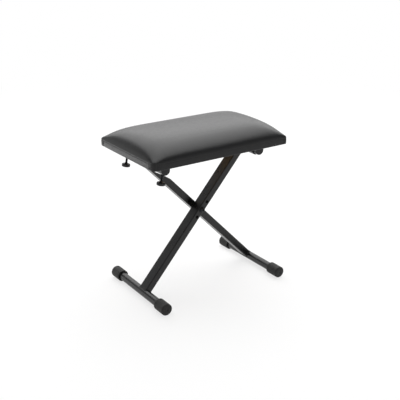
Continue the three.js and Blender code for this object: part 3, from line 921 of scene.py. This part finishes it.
# Cap rubber: moulded black rubber, matte, with a dusty bloom that lifts its grey in patches and a
# fine spark-eroded texture, which is drawn 1.1 mm wide so that it shows.
rubber = mottled(
    "moulded_black_rubber", ("#121212", "#1e1e1d"), {"Scale": 1 / 0.014, "Detail": 4.0, "Roughness": 0.6},
    {"To Min": 0.55, "To Max": 0.72}, {"Specular IOR Level": 0.40},
    {"Scale": 1 / 0.0011, "Detail": 2.0}, {"Strength": 0.35, "Distance": 0.0002},
)

cap_radius = 0.0155
cap_length = 0.040
cap_floor = 0.004
cap_edge = 0.003
cap_dome = 0.001
cap_clearance = 0.0003
cap_bore = foot_radius + cap_clearance
lip_edge = 0.0012
bore_edge = 0.0006
rib_count = 28
rib_depth = 0.0004
rib_zone = (0.0055, 0.0325)
rib_run_in = 0.002
rib_run_out = 0.001
rib_sharpness = 0.7
groove_place = 0.0338
groove_width = 0.0006
groove_depth = 0.0005
barrel_margin = 0.0005


def cap_ripple(distance, radius, angle):
    """Ribs along the barrel that fade out at both ends, and the groove behind the collar."""
    if radius < cap_radius - barrel_margin:
        return 0.0
    fade = min(max((distance - rib_zone[0]) / rib_run_in, 0),
               max((rib_zone[1] - distance) / rib_run_out, 0), 1)
    valley = 0.5 - 0.5 * math.cos(rib_count * angle)
    groove = math.exp(-((distance - groove_place) / groove_width) ** 2)
    return -rib_depth * fade * valley ** rib_sharpness - groove_depth * groove


barrel = [0.0050, 0.0060, 0.0075, 0.012, 0.018, 0.024, 0.030, 0.0315, 0.0325, 0.0330, 0.0334, 0.0338,
          0.0342, 0.0346, 0.0352, 0.0365, 0.0385]
dished_end = [(0.0012, 0), (0.0012, 0.0022), (0.0004, 0.0030), (0.0, 0.0045), (0.0002, 0.008)]
cap_profile = (
    dished_end
    + rounded_edge(cap_dome + cap_edge, cap_radius - cap_edge, cap_edge, -90, 0)
    + [(distance, cap_radius) for distance in barrel]
    + rounded_edge(cap_length - lip_edge, cap_radius - lip_edge, lip_edge, 0, 90)
    + rounded_edge(cap_length - bore_edge, cap_bore + bore_edge, bore_edge, 90, 180)
    + [(cap_floor, cap_bore), (cap_floor, 0)]
)
for side in ("front", "rear"):
    for end, way in (("near", 1), ("far", -1)):
        node = f"{side}_foot_cap_{end}"
        cap_low, cap_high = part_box(node)
        middle = middle_of(node)
        base = (middle.x, cap_low[1] if way == 1 else cap_high[1], middle.z)
        cap = turned(f"{side}_rubber_cap_{end}", cap_profile, rib_count * 6, base, (0, way, 0), cap_ripple)
        cap.data.materials.append(rubber)
        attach(cap, side + "_leg")
        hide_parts(node)


# Tube plugs, hinge pads and saddles.
# Moulded black nylon: domed plugs in the top tubes' ends, pads between the front top tube and the
# board, and saddles over the rear top tube, each with a boss that holds a nut in the board.

# Nylon: moulded black nylon, matte, with a faint flow texture.
nylon = mottled(
    "moulded_black_nylon", ("#101011", "#19191a"), {"Scale": 1 / 0.008, "Detail": 3.0},
    {"To Min": 0.42, "To Max": 0.55}, {"Specular IOR Level": 0.36},
    {"Scale": 1 / 0.0009, "Detail": 1.0}, {"Strength": 0.2, "Distance": 0.0002},
)
moulded = {"front_top_plug": ("front_leg", 0.0002), "rear_top_plug": ("rear_leg", 0.0002),
           "hinge_pad": ("seat", 0.0004), "lock_saddle": ("seat", 0.0006)}
for node, (owner, edge) in moulded.items():
    for end in ("near", "far"):
        part = refined(f"{node}_moulding_{end}", f"{node}_{end}", edge, nylon)
        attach(part, owner)
        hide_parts(f"{node}_{end}")


# Hinge straps.
# Two bent steel straps, 20 mm wide and 2 mm thick, hold the front top tube against the pads so
# that the seat turns on it. They are powder coated like the legs.
for end in ("near", "far"):
    strap = refined("seat_strap_" + end, "hinge_strap_" + end, 0.0005, powder)
    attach(strap, "seat")
    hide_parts("hinge_strap_" + end)


# Wood screws.
# Round-headed screws with a cross recess, black zinc plated. They hold the straps and saddles up
# against the board.

# Black zinc: plated and passivated steel, dark grey with a faint oily sheen and slight blotches.
black_zinc = mottled(
    "black_zinc_plated_steel", ("#1d1e20", "#3a3b3d"), {"Scale": 1 / 0.004, "Detail": 3.0},
    {"To Min": 0.28, "To Max": 0.45}, {"Metallic": 1.0},
)

screw_head_radius = 0.0038
screw_head_height = 0.0024
screw_shank_radius = 0.0019
screw_tip_gap = 0.0003
recess_length = 0.0038
recess_width = 0.0008
recess_depth = 0.0026
cutter_size = 0.01
tree, given = new_tree("round_head_screws", {
    "Head Radius": "Float", "Head Height": "Float", "Shank": "Float", "Length": "Float",
    "Material": "Material",
})
head_ball = add_node(tree, "GeometryNodeMeshUVSphere", {
    "Segments": 24, "Rings": 14, "Radius": given.outputs["Head Radius"],
})
flatness = add_node(tree, "ShaderNodeMath", {
    0: given.outputs["Head Height"], 1: given.outputs["Head Radius"],
}, operation="DIVIDE")
flat_scale = add_node(tree, "ShaderNodeCombineXYZ", {"X": 1.0, "Y": 1.0, "Z": flatness})
dome = add_node(tree, "GeometryNodeTransform", {"Geometry": head_ball, "Scale": flat_scale})
above = add_node(tree, "GeometryNodeMeshCube", {"Size": (2 * cutter_size, 2 * cutter_size, cutter_size)})
above_at = add_node(tree, "GeometryNodeTransform", {
    "Geometry": above, "Translation": (0, 0, cutter_size / 2),
})
cutters = add_node(tree, "GeometryNodeJoinGeometry")
tree.links.new(above_at.outputs["Geometry"], cutters.inputs["Geometry"])
recess_sink = add_node(tree, "ShaderNodeMath", {0: given.outputs["Head Height"], 1: -1.0},
                       operation="MULTIPLY")
recess_at = add_node(tree, "ShaderNodeCombineXYZ", {"Z": recess_sink})
for wide, deep in ((recess_length, recess_width), (recess_width, recess_length)):
    arm = add_node(tree, "GeometryNodeMeshCube", {"Size": (wide, deep, recess_depth)})
    arm_at = add_node(tree, "GeometryNodeTransform", {"Geometry": arm, "Translation": recess_at})
    tree.links.new(arm_at.outputs["Geometry"], cutters.inputs["Geometry"])
head = add_node(tree, "GeometryNodeMeshBoolean", {"Mesh 1": dome, "Mesh 2": cutters},
                operation="DIFFERENCE", solver="EXACT")
shank = add_node(tree, "GeometryNodeMeshCylinder", {
    "Vertices": 16, "Radius": given.outputs["Shank"], "Depth": given.outputs["Length"],
})
half_length = add_node(tree, "ShaderNodeMath", {0: given.outputs["Length"], 1: 0.5}, operation="MULTIPLY")
shank_place = add_node(tree, "ShaderNodeCombineXYZ", {"Z": half_length})
shank_at = add_node(tree, "GeometryNodeTransform", {"Geometry": shank, "Translation": shank_place})
screw = add_node(tree, "GeometryNodeJoinGeometry")
tree.links.new(head.outputs["Mesh"], screw.inputs["Geometry"])
tree.links.new(shank_at.outputs["Geometry"], screw.inputs["Geometry"])
driven = add_node(tree, "GeometryNodeInstanceOnPoints", {
    "Points": given.outputs["Geometry"], "Instance": screw,
})
end_tree(tree, given, driven)
for kind in ("strap", "saddle"):
    names = [f"{kind}_screw_{end}_{side}" for end in ("near", "far") for side in ("left", "right")]
    places = []
    for node in names:
        low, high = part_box(node)
        places.append(((low[0] + high[0]) / 2, (low[1] + high[1]) / 2, low[2] + screw_head_height))
    row = new_object(kind + "_screw_places", places, [])
    row = grown(row, kind + "_wood_screws", tree, {
        "Head Radius": screw_head_radius, "Head Height": screw_head_height, "Shank": screw_shank_radius,
        "Length": high[2] - low[2] - screw_head_height - screw_tip_gap, "Material": black_zinc,
    })
    smoothed(row, 35)
    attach(row, "seat")
    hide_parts(*names)


# Pivot.
# An M8 button-head bolt through both legs, with washers outside them, a nylon spacer between
# them and a lock nut with a nylon collar at the back, all black plated.
pivot_pieces = {"pivot_bolt": 0.0003, "pivot_washer_near": 0.0002, "pivot_washer_far": 0.0002,
                "pivot_nut": 0.0003}
for node, edge in pivot_pieces.items():
    part = refined(node.replace("pivot_", "crossing_"), node, edge, black_zinc)
    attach(part, "front_leg")
    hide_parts(node)
spacer = refined("crossing_spacer", "pivot_spacer", 0.0001, nylon)
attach(spacer, "front_leg")
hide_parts("pivot_spacer")


# Captive nuts.
# Hexagonal nuts pressed into the saddles' bosses, in line with the knob bolts.
for end in ("near", "far"):
    nut = refined("captive_nut_" + end, "lock_nut_" + end, 0.0002, black_zinc)
    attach(nut, "seat")
    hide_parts("lock_nut_" + end)


# Knob bolts.
# A fluted nylon knob moulded round the end of a black zinc plated M6 stud. The stud goes up
# through the rear top tube at a slant, into the nut in the saddle.
bolt_lean = math.radians(10)
knob_drop = 0.0395
knob_thickness = 0.008
knob_radius = 0.0108
knob_edge = 0.002
hub_radius = 0.0046
hub_height = 0.0022
hub_edge = 0.0008
bore_radius = 0.0033
bore_floor = 0.002
stud_radius = 0.003
tip_chamfer = 0.0006
thread_pitch = 0.001
thread_depth = 0.0004
thread_rings = 6
flute_count = 14
flute_depth = 0.0006
flute_margin = 0.0015
flute_sharpness = 1.5
stud_foot = -0.0372
stud_tip = 0.0115
bolt_y = middle_of("knob_far").y
knob_top = knob_thickness - knob_drop


def knob_ripple(distance, radius, angle):
    """Shallow finger flutes round the rim."""
    if radius < knob_radius - flute_margin or distance > knob_top:
        return 0.0
    return -flute_depth * (0.5 - 0.5 * math.cos(flute_count * angle)) ** flute_sharpness


dished_foot = [(0.0006 - knob_drop, 0), (0.0006 - knob_drop, 0.0055), (-knob_drop, 0.0063)]
knob_profile = (
    dished_foot
    + rounded_edge(knob_edge - knob_drop, knob_radius - knob_edge, knob_edge, -90, 0)
    + rounded_edge(knob_top - knob_edge, knob_radius - knob_edge, knob_edge, 0, 90)
    + [(knob_top, hub_radius + hub_edge), (knob_top + hub_edge, hub_radius)]
    + rounded_edge(knob_top + hub_height - hub_edge, hub_radius - hub_edge, hub_edge, 0, 90)
    + [(knob_top + hub_height, bore_radius), (bore_floor - knob_drop, bore_radius),
       (bore_floor - knob_drop, 0)]
)
thread_steps = round((stud_tip - stud_foot) / thread_pitch * thread_rings)
stud_profile = [(stud_foot, 0)]
for step in range(thread_steps + 1):
    distance = stud_foot + (stud_tip - stud_foot) * step / thread_steps
    stud_profile.append((distance, stud_radius - max(0.0, distance - stud_tip + tip_chamfer)))
stud_profile.append((stud_tip, 0))


def thread_ripple(distance, radius, angle):
    """A vee thread that winds round the stud."""
    turn = distance / thread_pitch - angle / (2 * math.pi)
    return -thread_depth * abs(2 * (turn % 1) - 1)


bolt_axis = (math.sin(bolt_lean), 0, math.cos(bolt_lean))
tube_middle = middle_of("rear_top_tube")
for end, way in (("near", -1), ("far", 1)):
    base = (tube_middle.x, way * bolt_y, tube_middle.z)
    knob = turned("fluted_knob_" + end, knob_profile, flute_count * 8, base, bolt_axis, knob_ripple)
    knob.data.materials.append(nylon)
    stud = turned("threaded_stud_" + end, stud_profile, 24, base, bolt_axis, thread_ripple)
    stud.data.materials.append(black_zinc)
    for part, node, finish in ((knob, "knob_", "black_plastic"), (stud, "knob_stud_", "black_zinc")):
        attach(part, end + "_knob_bolt")
        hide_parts(node + end)
